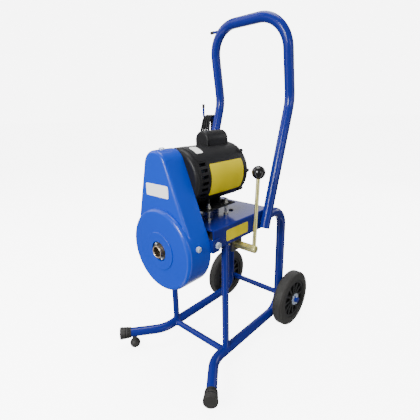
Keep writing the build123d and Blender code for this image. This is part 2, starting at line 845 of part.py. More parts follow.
# domed screws through the sides of the drum
guard_bolt_x = math.sqrt(drum_r**2 - (guard_bolt_z - spindle_z) ** 2)
with BuildPart() as guard_bolts:
    for side, word in sides:
        head_x = side * (guard_bolt_x - guard_head_sink)
        rod_x(guard_bolt_r, side * (guard_bolt_x - guard_bolt_reach), head_x, guard_bolt_y, guard_bolt_z)
        rod_x(guard_head_r, head_x, head_x + side * guard_head_h, guard_bolt_y, guard_bolt_z)
    add(belt_guard.part, mode=Mode.SUBTRACT)
save(guard_bolts, "guard_bolts")

# angle brackets that carry the guard on the flanges
plate_rear_y = guard_back_y + guard_plate
with BuildPart() as guard_brackets:
    for side, word in sides:
        outer = side * (channel_half_w + bracket_sheet)
        low = bracket_bottom_z
        high = bracket_top_z
        leg_end = plate_rear_y + bracket_sheet + bracket_leg
        block(side * channel_half_w, outer, plate_rear_y, leg_end, low, high)
        block(side * bracket_inner_x, outer, plate_rear_y, plate_rear_y + bracket_sheet, low, high)
    reach = channel_half_w + bracket_sheet
    rod_x(bracket_bolt_r, -reach, reach, bracket_bolt_y, bracket_bolt_z, Mode.SUBTRACT)
save(guard_brackets, "guard_brackets")

with BuildPart() as bracket_bolts:
    for side, word in sides:
        outer = channel_half_w + bracket_sheet
        inner = channel_half_w - sheet
        spot = (bracket_bolt_y, bracket_bolt_z)
        rod_x(bracket_bolt_r, side * inner, side * outer, *spot)
        hexagon(bolt_head_across, bolt_head_h, (side * outer, *spot), (side, 0, 0))
        hexagon(bolt_head_across, bolt_head_h, (side * inner, *spot), (-side, 0, 0))
save(bracket_bolts, "bracket_bolts")

# clutch lever: shaft under the flange, rod and ball knob
rod_way = Vector(0, knob_y - clutch_y, knob_z - lever_shaft_z)
rod_plane = Plane(origin=(lever_x, clutch_y, lever_shaft_z), z_dir=rod_way)
with BuildPart() as lever_shaft:
    rod_x(lever_shaft_r, lever_shaft_in_x, lever_shaft_out_x, clutch_y, lever_shaft_z)
    fillet(lever_shaft.edges().group_by(Axis.X)[-1], sheet)
save(lever_shaft, "lever_shaft")

with BuildPart() as lever_rod:
    with Locations(rod_plane):
        Cylinder(rod_r, rod_way.length - knob_bore_depth / 2, align=from_base)
    rod_x(lever_shaft_r, lever_shaft_in_x, lever_shaft_out_x, clutch_y, lever_shaft_z, Mode.SUBTRACT)
save(lever_rod, "lever_rod")

with BuildPart() as lever_knob:
    with Locations((lever_x, knob_y, knob_z)):
        Sphere(knob_r)
    with Locations(rod_plane):
        Cylinder(
            rod_r, rod_way.length - knob_bore_depth / 2,
            align=from_base, mode=Mode.SUBTRACT,
        )
save(lever_knob, "lever_knob")

# fork arm on the inner end of the lever shaft, with the pin that moves the collar
with BuildPart() as lever_fork:
    arm_x = lever_shaft_in_x + fork_thick
    half = fork_width / 2
    fork_high = spindle_z + fork_top
    block(lever_shaft_in_x, arm_x, clutch_y - half, clutch_y + half, lever_shaft_z, fork_high)
    rod_x(lever_shaft_r + bracket_thick, lever_shaft_in_x, arm_x, clutch_y, lever_shaft_z)
    rod_x(fork_pin_r, fork_pin_end_x, lever_shaft_in_x, clutch_y, spindle_z)
    rod_x(lever_shaft_r, lever_shaft_in_x, arm_x, clutch_y, lever_shaft_z, Mode.SUBTRACT)
save(lever_fork, "lever_fork")

# hangers that carry the lever shaft
with BuildPart() as lever_hangers:
    for inner_x in (bracket_out_x, bracket_in_x):
        half = bracket_width / 2
        outer_x = inner_x + bracket_thick
        block(inner_x, outer_x, clutch_y - half, clutch_y + half, bracket_low_z, plate_low)
        hole_r = lever_shaft_r + running_gap
        rod_x(hole_r, inner_x, outer_x, clutch_y, lever_shaft_z, Mode.SUBTRACT)
save(lever_hangers, "lever_hangers")

# sliding collar on the spindle
collar_plane = Plane(origin=(0, clutch_y, spindle_z), x_dir=(0, 1, 0), z_dir=(1, 0, 0))
with BuildPart() as clutch_collar:
    with BuildSketch(collar_plane):
        with BuildLine():
            Polyline(
                (-collar_half - collar_nose_length, spindle_r + running_gap),
                (collar_half, spindle_r + running_gap),
                (collar_half, collar_r),
                (collar_groove_half, collar_r),
                (collar_groove_half, collar_groove_r),
                (-collar_groove_half, collar_groove_r),
                (-collar_groove_half, collar_r),
                (-collar_half, collar_r),
                (-collar_half - collar_nose_length, collar_nose_r),
                close=True,
            )
        make_face()
    revolve(axis=spindle_axis)
save(clutch_collar, "clutch_collar")

# motor front bell with cooling slots round its side
motor_axis = Axis((motor_x, 0, motor_z), (0, 1, 0))
motor_plane = Plane(origin=(motor_x, 0, motor_z), x_dir=(0, 1, 0), z_dir=(1, 0, 0))
with BuildPart() as front_bell:
    with BuildSketch(motor_plane):
        with BuildLine():
            Polyline(
                (bell_nose_y, shaft_r + running_gap),
                (bell_nose_y, motor_r),
                (shell_front_y, motor_r),
                (shell_front_y, motor_r - motor_wall),
                (bell_nose_y + motor_wall, motor_r - motor_wall),
                (bell_nose_y + motor_wall, shaft_r + running_gap),
                close=True,
            )
        make_face()
        inner_corner = (bell_nose_y + motor_wall, motor_r - motor_wall)
        fillet(vertices().sort_by_distance(inner_corner)[0], bell_edge_r - motor_wall)
        fillet(vertices().sort_by_distance((bell_nose_y, motor_r))[0], bell_edge_r)
    revolve(axis=motor_axis)
    for step in range(vent_count):
        angle = 360.0 * (step + 0.5) / vent_count
        with Locations(Location((motor_x, vent_y, motor_z), (0, -angle, 0))):
            with Locations((motor_r, 0, 0)):
                Box(vent_depth, vent_length, vent_width, mode=Mode.SUBTRACT)
save(front_bell, "motor_front_bell")

with BuildPart() as motor_shell:
    rod_y(motor_r, motor_x, shell_front_y, shell_rear_y, motor_z)
    rod_y(motor_r - motor_wall, motor_x, shell_front_y, shell_rear_y, motor_z, Mode.SUBTRACT)
save(motor_shell, "motor_shell")

tie_turns = [math.radians(360.0 * step / tie_count) for step in range(tie_count)]
tie_spots = [
    (motor_x + tie_circle * math.cos(turn), motor_z + tie_circle * math.sin(turn)) for turn in tie_turns
]
with BuildPart() as rear_bell:
    with BuildSketch(motor_plane):
        with BuildLine():
            Polyline(
                (shell_rear_y, motor_r - 2 * motor_wall),
                (shell_rear_y, motor_r),
                (rear_rim_y, motor_r),
                (rear_end_y, rear_end_r),
                (rear_end_y, 0),
                (rear_end_y - motor_wall, 0),
                (rear_end_y - motor_wall, rear_end_r - motor_wall),
                (rear_rim_y - motor_wall, motor_r - 2 * motor_wall),
                close=True,
            )
        make_face()
    revolve(axis=motor_axis)
    seat_y = rear_rim_y - motor_wall
    seat_end_y = rear_end_y - motor_wall
    rod_y(2 * shaft_r, motor_x, seat_y, rear_end_y, motor_z)
    rod_y(shaft_r + running_gap, motor_x, seat_y, seat_end_y, motor_z, Mode.SUBTRACT)
    for x, z in tie_spots:
        rod_y(tie_ear_r, x, shell_rear_y, rear_rim_y, z)
        rod_y(tie_r, x, rear_rim_y - tie_grip, rear_rim_y + tie_nut_h, z, Mode.SUBTRACT)
save(rear_bell, "motor_rear_bell")

with BuildPart() as motor_ties:
    for x, z in tie_spots:
        rod_y(tie_r, x, rear_rim_y - tie_grip, rear_rim_y + tie_nut_h, z)
        hexagon(tie_nut_across, tie_nut_h, (x, rear_rim_y, z), (0, 1, 0))
    add(rear_bell.part, mode=Mode.SUBTRACT)
save(motor_ties, "motor_tie_bolts")

# rotor with its shaft
with BuildPart() as rotor:
    rod_y(rotor_r, motor_x, shell_front_y + rotor_inset, shell_rear_y - rotor_inset, motor_z)
    rod_y(shaft_r, motor_x, shaft_front_y, shaft_rear_y, motor_z)
save(rotor, "motor_rotor")

# motor foot: plate on four jack studs, with two saddles up to the shell
foot_plate_top = foot_plate_z + foot_plate_h
with BuildPart() as motor_foot:
    left = motor_x - foot_half_w
    right = motor_x + foot_half_w
    block(left, right, foot_front_y, foot_rear_y, foot_plate_z, foot_plate_top)
    for y in stud_y:
        inset = stud_washer_r + saddle_thick
        y0 = y + inset if y < sum(stud_y) / 2 else y - inset
        block(
            motor_x - saddle_half_w, motor_x + saddle_half_w,
            y0 - saddle_thick / 2, y0 + saddle_thick / 2, foot_plate_top, motor_z,
        )
    rod_y(motor_r, motor_x, foot_front_y - motor_r, foot_rear_y + motor_r, motor_z, Mode.SUBTRACT)
    for x, y in stud_spots:
        rod_z(stud_r, x, y, foot_plate_z, foot_plate_top, Mode.SUBTRACT)
save(motor_foot, "motor_foot")

with BuildPart() as motor_studs:
    for x, y in stud_spots:
        rod_z(stud_r, x, y, plate_low, stud_top_z)
save(motor_studs, "motor_studs")

# jack nuts and washers: on the plate, under the foot and on the foot
nut_floors = (plate_top, foot_plate_z - stud_nut_h, foot_plate_top + stud_washer_h)
with BuildPart() as stud_nuts:
    for x, y in stud_spots:
        for z in nut_floors:
            hexagon(stud_nut_across, stud_nut_h, (x, y, z), (0, 0, 1))
        rod_z(stud_washer_r, x, y, foot_plate_top, foot_plate_top + stud_washer_h)
        rod_z(stud_r, x, y, plate_low, stud_top_z, Mode.SUBTRACT)
save(stud_nuts, "stud_nuts")

# capacitor cover on top of the shell
with BuildPart() as hump:
    rod_y(hump_r, hump_x, hump_front_y, hump_rear_y, hump_z)
    block(hump_x - hump_r, hump_x + hump_r, hump_front_y, hump_rear_y, motor_z, hump_z)
    ends = hump.faces().filter_by(Axis.Y)
    fillet(ends.edges().filter_by(GeomType.CIRCLE), hump_edge_r)
    inner_r = hump_r - hump_wall
    y0 = hump_front_y + hump_wall
    y1 = hump_rear_y - hump_wall
    rod_y(inner_r - hump_wall, hump_x, y0 + hump_wall, y1 - hump_wall, hump_z, Mode.SUBTRACT)
    block(hump_x - inner_r, hump_x + inner_r, y0, y1, motor_z, hump_z, Mode.SUBTRACT)
    rod_y(motor_r, motor_x, hump_front_y, hump_rear_y, motor_z, Mode.SUBTRACT)
save(hump, "capacitor_cover")

# reversing switch box on the far side of the motor
with BuildPart() as switch_box:
    block(switch_out_x, motor_x, switch_front_y, switch_rear_y, switch_low_z, switch_high_z)
    fillet(switch_box.edges().filter_by(Axis.X), switch_edge_r)
    rod_y(motor_r, motor_x, switch_front_y, switch_rear_y, motor_z, Mode.SUBTRACT)
save(switch_box, "switch_box")

dial_x = switch_out_x - axial_gap
with BuildPart() as dial:
    rod_x(dial_r, dial_x, dial_x - dial_h, dial_y, dial_z)
    grip_x = dial_x - dial_h - dial_grip_h
    half = dial_grip_w / 2
    block(grip_x, dial_x - dial_h, dial_y - half, dial_y + half, dial_z - dial_r, dial_z + dial_r)
save(dial, "switch_dial")

# cord gland with a tapered strain relief
with BuildPart() as gland:
    gland_end_y = switch_rear_y + gland_length
    rod_y(gland_r, gland_x, switch_rear_y, gland_end_y, gland_z)
    with Locations(Plane(origin=(gland_x, gland_end_y, gland_z), z_dir=(0, 1, 0))):
        Cone(
            relief_start_r, relief_end_r, relief_length,
            align=from_base,
        )
save(gland, "cord_gland")

# power cord: lead from the gland, past the handle leg, to the hank on the hook
hank_x = hook_tip_x + hank_inset
hank_top_z = hook_z + peg_r + cord_r + hank_rest_gap
hank_mid_y = hook_y
hank_front_y = hank_mid_y - hank_bend_r
hank_rear_y = hank_mid_y + hank_bend_r
high_z = hank_top_z - hank_bend_r
low_z = high_z - hank_run
start_z = high_z - hank_start_drop
lead_start = Vector(gland_x, cord_exit_y, gland_z)
lead_end = Vector(hank_x, hank_front_y, start_z)
span = lead_end - lead_start
lead_points = [lead_start]
for across, back, down in lead_shares:
    lead_points.append(lead_start + Vector(across * span.X, back * span.Y, down * span.Z))
lead_points.append(lead_end)


def bend_radii(points):
    radii = []
    for before, here, after in zip(points, points[1:], points[2:]):
        turn = math.radians((here - before).get_angle(after - here))
        shorter = min((here - before).length, (after - here).length)
        radii.append(bend_share * shorter / math.tan(turn / 2))
    return radii


lead_radii = bend_radii(lead_points)
print("lead route", [tuple(round(value, 1) for value in point) for point in lead_points])
print("lead bend radii", [round(radius, 1) for radius in lead_radii])
with BuildLine() as lead_line:
    FilletPolyline(*lead_points, radius=lead_radii)
lead_wire = lead_line.wire()
with BuildPart() as cord_lead:
    tube_along(lead_wire, cord_r)
save(cord_lead, "cord_lead")
lead_share = cord_lead.part.volume / (math.pi * cord_r**2 * lead_wire.length)
print("lead length", round(lead_wire.length, 1), "volume over section times length", round(lead_share, 4))

# hank: round loops over the hook, each one stepped sideways on its way up
with BuildLine() as hank_line:
    Line((hank_x, hank_front_y, start_z), (hank_x, hank_front_y, low_z))
    for loop in range(hank_loops):
        x0 = hank_x + loop * hank_pitch
        x1 = x0 + hank_pitch
        mid = ((x0 + x1) / 2, hank_rear_y, (low_z + high_z) / 2)
        ThreePointArc(
            (x0, hank_front_y, low_z), (x0, hank_mid_y, low_z - hank_bend_r), (x0, hank_rear_y, low_z)
        )
        TangentArc((x0, hank_rear_y, low_z), mid, tangent=(0, 0, 1))
        TangentArc((x1, hank_rear_y, high_z), mid, tangent=(0, 0, -1))
        ThreePointArc(
            (x1, hank_rear_y, high_z), (x1, hank_mid_y, high_z + hank_bend_r), (x1, hank_front_y, high_z)
        )
        last = loop == hank_loops - 1
        Line((x1, hank_front_y, high_z), (x1, hank_front_y, high_z - hank_end_drop if last else low_z))
hank_wire = hank_line.wire()
with BuildPart() as cord_hank:
    tube_along(hank_wire, cord_r)
save(cord_hank, "cord_hank")
hank_share = cord_hank.part.volume / (math.pi * cord_r**2 * hank_wire.length)
print("hank length", round(hank_wire.length, 1), "volume over section times length", round(hank_share, 4))

# least gap between neighbouring turns of the hank, on sampled points
loop_length = hank_wire.length / hank_loops
samples = [hank_wire.position_at(step / hank_samples) for step in range(hank_samples + 1)]
spacing = hank_wire.length / hank_samples
apart = [
    (first - second).length
    for one, first in enumerate(samples)
    for second in samples[one + int(loop_length / 2 / spacing):]
]
print("hank least gap to itself", round(min(apart) - 2 * cord_r, 2))

# plug hanging below the hank
plug_x = hank_x + hank_loops * hank_pitch
plug_top_z = high_z - hank_end_drop
plug_low_z = plug_top_z - plug_neck_length - plug_length
with BuildPart() as plug:
    neck_z = plug_top_z - plug_neck_length
    with Locations((plug_x, hank_front_y, neck_z)):
        Cone(plug_r, plug_neck_r, plug_neck_length, align=from_base)
    rod_z(plug_r, plug_x, hank_front_y, plug_low_z, neck_z)
save(plug, "plug")

with BuildPart() as plug_pins:
    for offset in (-plug_pin_pitch, 0, plug_pin_pitch):
        y = hank_front_y + offset
        rod_z(plug_pin_r, plug_x, y, plug_low_z - plug_pin_length, plug_low_z)
save(plug_pins, "plug_pins")
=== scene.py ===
import json
import math

import bmesh
import bpy
from mathutils import Matrix, Vector


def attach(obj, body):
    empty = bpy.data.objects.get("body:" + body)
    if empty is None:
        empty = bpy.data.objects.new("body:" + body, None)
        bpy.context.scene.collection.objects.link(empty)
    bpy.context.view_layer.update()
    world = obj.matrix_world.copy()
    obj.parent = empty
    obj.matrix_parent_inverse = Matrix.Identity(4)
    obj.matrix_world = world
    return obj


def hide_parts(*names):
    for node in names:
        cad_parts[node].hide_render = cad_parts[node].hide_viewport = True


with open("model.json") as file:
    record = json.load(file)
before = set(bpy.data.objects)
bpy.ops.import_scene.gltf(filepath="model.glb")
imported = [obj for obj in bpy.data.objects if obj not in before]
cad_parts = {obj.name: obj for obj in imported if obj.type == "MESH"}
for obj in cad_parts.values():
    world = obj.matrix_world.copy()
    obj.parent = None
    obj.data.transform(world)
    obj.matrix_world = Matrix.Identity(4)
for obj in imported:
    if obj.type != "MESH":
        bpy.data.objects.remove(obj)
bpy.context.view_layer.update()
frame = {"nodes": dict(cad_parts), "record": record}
nodes = frame["nodes"]
bodies = frame["record"]["behaviour"]["bodies"]
bodyOf = {node: body for body, group in bodies.items() for node in group}
slotOf = {part["node"]: part["material_slot"] for part in frame["record"]["subparts"]}
print("frame loaded:", len(nodes), "nodes")


# a socket that takes part in sums, in shader and geometry trees alike
class Sock:
    def __init__(self, web, socket):
        self.web = web
        self.socket = socket

    def __add__(self, other):
        return self.web.reckon("ADD", self, other)

    def __radd__(self, other):
        return self.web.reckon("ADD", other, self)

    def __sub__(self, other):
        return self.web.reckon("SUBTRACT", self, other)

    def __rsub__(self, other):
        return self.web.reckon("SUBTRACT", other, self)

    def __mul__(self, other):
        return self.web.reckon("MULTIPLY", self, other)

    def __rmul__(self, other):
        return self.web.reckon("MULTIPLY", other, self)


# a node tree of any kind, with the few calls that fill it
class Web:
    def __init__(self, tree):
        self.tree = tree

    def put(self, kind, settings=None, values=None, out=0):
        node = self.tree.nodes.new(kind)
        for key, value in (settings or {}).items():
            setattr(node, key, value)
        for key, value in (values or {}).items():
            if isinstance(value, Sock):
                self.tree.links.new(value.socket, node.inputs[key])
            else:
                node.inputs[key].default_value = value
        return None if out is None else Sock(self, node.outputs[out])

    def reckon(self, operation, *values):
        return self.put("ShaderNodeMath", {"operation": operation}, dict(enumerate(values)))

    def ranged(self, value, low, high, first=0.0, last=1.0):
        return self.put("ShaderNodeMapRange", {}, {0: value, 1: low, 2: high, 3: first, 4: last})

    def heightOf(self, place):
        return self.put("ShaderNodeSeparateXYZ", {}, {0: place}, out="Z")


# a material's web: Principled shader, object coordinates, and a few common patterns
class Finish(Web):
    def __init__(self, name, **fixed):
        self.material = bpy.data.materials.new(name)
        self.material.use_nodes = True
        super().__init__(self.material.node_tree)
        self.shader = self.tree.nodes["Principled BSDF"]
        for key, value in fixed.items():
            self.shader.inputs[key.replace("_", " ")].default_value = value
        self.place = self.put("ShaderNodeTexCoord", out="Object")

    def noise(self, scale, detail=2.0, rough=0.5, stretch=(1, 1, 1)):
        where = self.put("ShaderNodeMapping", {}, {"Vector": self.place, "Scale": stretch})
        values = {"Vector": where, "Scale": scale, "Detail": detail, "Roughness": rough}
        return self.put("ShaderNodeTexNoise", {}, values)

    # inputs 6 and 7 and output 2 are the node's colour sockets
    def mixed(self, share, first, second):
        return self.put("ShaderNodeMix", {"data_type": "RGBA"}, {0: share, 6: first, 7: second}, out=2)

    def feed(self, socket, value):
        self.tree.links.new(value.socket, self.shader.inputs[socket])

    def bump(self, value, strength, depth):
        values = {"Strength": strength, "Distance": depth, "Height": value}
        self.feed("Normal", self.put("ShaderNodeBump", {}, values))


def tinted(colour, factor=1.0, lift=0.0):
    return tuple(min(1.0, channel * factor + lift) for channel in colour) + (1.0,)


# enamel: flowed-out paint with faint orange peel, cloudy, and scuffed near the floor
enamels = {
    "tubeBlue": {
        "slots": ("tube_blue", "hook_steel"), "colour": (0.007, 0.014, 0.175),
        "shine": 0.20, "gloss": 0.17, "peel": 0.02,
    },
    "bedBlue": {
        "slots": ("bed_blue",), "colour": (0.006, 0.012, 0.15), "shine": 0.20, "gloss": 0.09, "peel": 0.03,
    },
    "guardBlue": {
        "slots": ("guard_blue",), "colour": (0.002, 0.039, 0.42), "shine": 0.34, "gloss": 0.22, "peel": 0.06,
    },
    "motorBlack": {
        "slots": ("motor_black",), "colour": (0.009, 0.009, 0.010),
        "shine": 0.18, "gloss": 0.39, "peel": 0.14,
    },
}
enamelLook = {
    # noises: scale, detail, roughness
    "cloud": (6.0, 3.0, 0.5),
    "mottle": (45.0, 4.0, 0.6),
    "peel": (700.0, 2.0, 0.5),
    "scuff": (160.0, 6.0, 0.7),
    "cloudTints": (0.86, 1.14),
    "scuffEdges": (0.66, 0.74),  # noise values where a scuff starts and where it is full
    "scuffTop": 0.12,  # height at which scuffs have faded out
    "scuffShare": 0.5,
    "scuffTint": (0.75, 0.02),  # factor and lift on the paint's colour
    "scuffRough": 0.25,
    "mottleRough": 0.04,
    "mottleBump": 0.4,
    "bumpDepth": 0.0006,
}


def enamel(name, spec):
    look = enamelLook
    f = Finish(name, Specular_IOR_Level=spec["shine"])
    mottle = f.noise(*look["mottle"])
    scuff = f.ranged(f.noise(*look["scuff"]), *look["scuffEdges"])
    scuff = scuff * f.ranged(f.heightOf(f.place), look["scuffTop"], 0.0)
    deep, pale = (tinted(spec["colour"], tint) for tint in look["cloudTints"])
    colour = f.mixed(f.noise(*look["cloud"]), deep, pale)
    scuffed = tinted(spec["colour"], *look["scuffTint"])
    f.feed("Base Color", f.mixed(scuff * look["scuffShare"], colour, scuffed))
    f.feed("Roughness", spec["gloss"] + look["mottleRough"] * mottle + look["scuffRough"] * scuff)
    f.bump(f.noise(*look["peel"]) + look["mottleBump"] * mottle, spec["peel"], look["bumpDepth"])
    return f.material


# bare and plated metal: fine grain, patchy plating, a little tarnish
metals = {
    "zincGold": {
        "slots": ("zinc",), "colour": (0.88, 0.82, 0.28), "shift": (0.76, 0.72, 0.36),
        "rough": 0.19, "metal": 1.0,
    },
    "brightSteel": {
        "slots": ("steel",), "colour": (0.60, 0.67, 0.80), "shift": (0.46, 0.53, 0.66),
        "rough": 0.18, "metal": 0.55,
    },
    "darkSteel": {
        "slots": ("dark_steel",), "colour": (0.075, 0.075, 0.08), "shift": (0.12, 0.12, 0.12),
        "rough": 0.30, "metal": 1.0,
    },
    "greyIron": {
        "slots": ("cast_iron",), "colour": (0.16, 0.16, 0.17), "shift": (0.10, 0.10, 0.105),
        "rough": 0.49, "metal": 1.0,
    },
    # oiled steel, darkened to a near-black olive as painted shade of the bore that the spindle sits in
    "oiledSteel": {
        "slots": ("bore",), "colour": (0.10, 0.09, 0.06), "shift": (0.06, 0.055, 0.04),
        "rough": 0.34, "metal": 1.0,
    },
    # zinc darkened as painted shade from the motor and guard above the jack studs
    "dullZinc": {
        "slots": ("stud",), "colour": (0.40, 0.40, 0.38), "shift": (0.30, 0.30, 0.29),
        "rough": 0.22, "metal": 1.0,
    },
    "bronze": {
        "slots": ("bronze",), "colour": (0.62, 0.50, 0.34), "shift": (0.50, 0.40, 0.27),
        "rough": 0.26, "metal": 1.0,
    },
    "brass": {
        "slots": ("brass",), "colour": (0.62, 0.44, 0.17), "shift": (0.50, 0.36, 0.15),
        "rough": 0.20, "metal": 1.0,
    },
}
metalLook = {
    # noises: scale, detail, roughness, and how much closer they are along each axis
    "patch": (55.0, 5.0, 0.6),
    "grain": (300.0, 3.0, 0.6, (1.0, 1.0, 6.0)),
    "patchEdges": (0.35, 0.68),
    "grainRough": 0.14,
    "patchRough": 0.06,
    "patchBump": 0.6,
    "bump": 0.04,
    "bumpDepth": 0.0003,
}


def metal(name, spec):
    look = metalLook
    f = Finish(name, Metallic=spec["metal"])
    patch = f.noise(*look["patch"])
    grain = f.noise(*look["grain"])
    share = f.ranged(patch, *look["patchEdges"])
    f.feed("Base Color", f.mixed(share, tinted(spec["colour"]), tinted(spec["shift"])))
    f.feed("Roughness", spec["rough"] + look["grainRough"] * grain + look["patchRough"] * patch)
    f.bump(grain + look["patchBump"] * patch, look["bump"], look["bumpDepth"])
    return f.material


# rubber and moulded plastic: fine spark texture and patches of pale dust
mouldings = {
    "tireRubber": {
        "slots": ("rubber",), "colour": (0.024, 0.023, 0.021),
        "shine": 0.32, "rough": 0.50, "grain": 900.0, "dust": 0.30,
    },
    "wheelPlastic": {
        "slots": ("wheel_plastic",), "colour": (0.018, 0.018, 0.019),
        "shine": 0.30, "rough": 0.45, "grain": 800.0, "dust": 0.22,
    },
    "knobPlastic": {
        "slots": ("black_plastic",), "colour": (0.006, 0.006, 0.006),
        "shine": 0.40, "rough": 0.08, "grain": 400.0, "dust": 0.06,
    },
    "cordJacket": {
        "slots": ("cord_black",), "colour": (0.004, 0.004, 0.0045),
        "shine": 0.15, "rough": 0.42, "grain": 1100.0, "dust": 0.10,
    },
}
mouldingLook = {
    "patch": (30.0, 4.0, 0.6),  # scale, detail, roughness
    "dustEdges": (0.48, 0.80),
    "dustLift": 0.03,
    "dustRough": 0.3,
    "patchRough": 0.10,
    "bump": 0.10,
    "bumpDepth": 0.0004,
}


def moulding(name, spec):
    look = mouldingLook
    f = Finish(name, Specular_IOR_Level=spec["shine"])
    patch = f.noise(*look["patch"])
    dust = f.ranged(patch, *look["dustEdges"]) * spec["dust"]
    dusty = tinted(spec["colour"], lift=look["dustLift"])
    f.feed("Base Color", f.mixed(dust, tinted(spec["colour"]), dusty))
    f.feed("Roughness", spec["rough"] + look["patchRough"] * patch + look["dustRough"] * dust)
    f.bump(f.noise(spec["grain"]), look["bump"], look["bumpDepth"])
    return f.material


# plain coated film of the blank plates
plateFilms = {
    "plateYellow": {
        "colour": (0.64, 0.52, 0.0), "shine": 0.12, "rough": 0.45, "grain": 500.0, "dust": 0.10,
    },
    "plateWhite": {
        "colour": (0.92, 0.92, 0.90), "shine": 0.30, "rough": 0.30, "grain": 500.0, "dust": 0.10,
    },
}
plateFinishes = {name: moulding(name, spec) for name, spec in plateFilms.items()}

finishes = {}
for makeFinish, table in ((enamel, enamels), (metal, metals), (moulding, mouldings)):
    for finishName, spec in table.items():
        made = makeFinish(finishName, spec)
        for slotName in spec["slots"]:
            finishes[slotName] = made
# each node wears its slot's finish, but the spindle and the jack studs have their own, both darkened as
# painted shade: the spindle for the shade inside its bore, the studs for the shade under the motor and guard
coats = {node: finishes[slotName] for node, slotName in slotOf.items()}
coats["spindle"] = finishes["bore"]
coats["motor_studs"] = coats["stud_nuts"] = finishes["stud"]
print("finishes made:", len(finishes))


# camera where the photograph was taken
photoView = {
    "place": (0.6378, -0.7472, 0.7647),
    "azimuth": 42.674,
    "elevation": 17.352,
    "roll": -1.452,
    "focalPixels": 321.366,
    "framePixels": 420,
    "sensor": 36.0,
}


def makeCamera(view):
    turn, rise, roll = (math.radians(view[key]) for key in ("azimuth", "elevation", "roll"))
    back = Vector((math.sin(turn) * math.cos(rise), -math.cos(turn) * math.cos(rise), math.sin(rise)))
    right = Vector((math.cos(turn), math.sin(turn), 0))
    up = back.cross(right)
    tiltedRight = math.cos(roll) * right + math.sin(roll) * up
    tiltedUp = math.cos(roll) * up - math.sin(roll) * right
    data = bpy.data.cameras.new("photoCamera")
    data.sensor_width = view["sensor"]
    data.lens = view["sensor"] * view["focalPixels"] / view["framePixels"]
    camera = bpy.data.objects.new("photoCamera", data)
    bpy.context.scene.collection.objects.link(camera)
    turned = Matrix((tiltedRight, tiltedUp, back)).transposed().to_4x4()
    camera.matrix_world = Matrix.Translation(view["place"]) @ turned
    bpy.context.scene.camera = camera


makeCamera(photoView)


def newPiece(name, mesh, body, slotName, *replaced):
    piece = bpy.data.objects.new(name, mesh)
    bpy.context.scene.collection.objects.link(piece)
    if not mesh.materials:
        mesh.materials.append(finishes[slotName])
    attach(piece, body)
    if replaced:
        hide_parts(*replaced)
    return piece


# power cord: one smooth line through the lead and the turns of the hank
powerCord = {
    "diameter": 0.008,
    "length": 2.557,
    "carried": ["plug", "plug_pins"],
    "lead": (
        (-0.111, 0.0013, 0.606), (-0.111, 0.0201, 0.606), (-0.1165, 0.0391, 0.6073),
        (-0.128, 0.0557, 0.6083), (-0.144, 0.0702, 0.606), (-0.161, 0.0825, 0.601),
        (-0.176, 0.0941, 0.5912), (-0.1868, 0.1052, 0.5773), (-0.1918, 0.1135, 0.5612),
        (-0.193, 0.1191, 0.5445), (-0.193, 0.1191, 0.5284),
    ),
    "turns": 4,
    "firstX": -0.193,
    "stepX": 0.0087,
    "spreadX": 0.0010,  # wider step on the hook than at the foot of the turns
    "midY": 0.1451,
    "bend": 0.026,
    "entry": 0.3,  # height of a turn's first point over the lower bends, as a share of the bend
    "lean": 0.105,  # how far the turns slant on the hook, back runs to the left
    "cave": 0.006,  # how far the back runs fall in below the hook
    "belly": 0.0155,  # how far the front runs stand out below the hook
    "tuck": 0.0025,  # how much less each run stands out than the one before
    # share of the way up, and there the share of the cave or belly
    "backRun": ((0.1, 0.0), (0.3, 0.3), (0.5, 0.8), (0.72, 1.0), (0.9, 0.3)),
    "frontRun": ((0.97, 0.3), (0.88, 1.0), (0.72, 0.9), (0.55, 0.35), (0.35, 0.0)),
    "highZ": 0.7174,
    "lowZ": 0.5094,
    "endZ": 0.4854,
    "outside": 1.05,  # control points of a bend stand this much outside it
    "perBend": 5,
    "perPoint": 10,  # steps of the drawn line from one control point to the next
    "roundness": 5,  # fineness of the section
}


def cordPoints(c):
    points = list(c["lead"])
    tall = c["highZ"] - c["lowZ"]
    reach = c["bend"] * c["outside"]
    angles = [(k + 0.5) * math.pi / c["perBend"] for k in range(c["perBend"])]

    def onTurn(number, along, z):
        share = min(1.0, max(0.0, (z - c["lowZ"]) / tall))
        x = c["firstX"] + number * (c["stepX"] + c["spreadX"] * share)
        points.append((x - (along + c["bend"]) * c["lean"] * share, c["midY"] + along, z))

    for turn in range(c["turns"]):
        onTurn(turn, -c["bend"], c["lowZ"] + c["entry"] * c["bend"])
        for angle in angles:
            onTurn(turn, -reach * math.cos(angle), c["lowZ"] - reach * math.sin(angle))
        for share, fall in c["backRun"]:
            onTurn(turn + share, c["bend"] - fall * c["cave"], c["lowZ"] + share * tall)
        for angle in angles:
            onTurn(turn + 1, reach * math.cos(angle), c["highZ"] + reach * math.sin(angle))
        belly = c["belly"] - c["tuck"] * (turn + 1)
        for share, swell in c["frontRun"]:
            onTurn(turn + 1, -c["bend"] - swell * belly, c["lowZ"] + share * tall)
    onTurn(c["turns"], -c["bend"], c["lowZ"])
    onTurn(c["turns"], -c["bend"], c["endZ"])
    return points


def makeCord(c):
    line = bpy.data.curves.new("powerCord", "CURVE")
    line.dimensions = "3D"
    spline = line.splines.new("NURBS")
    points = cordPoints(c)
    spline.points.add(len(points) - 1)
    for point, place in zip(spline.points, points):
        point.co = (*place, 1)
    spline.order_u = 3
    spline.use_endpoint_u = True
    spline.resolution_u = c["perPoint"]
    line.bevel_depth = c["diameter"] / 2
    line.bevel_resolution = c["roundness"]
    line.use_fill_caps = True
    cord = newPiece("power_cord", line, "machine", "cord_black", "cord_lead", "cord_hank")


makeCord(powerCord)
print("camera and cord made")

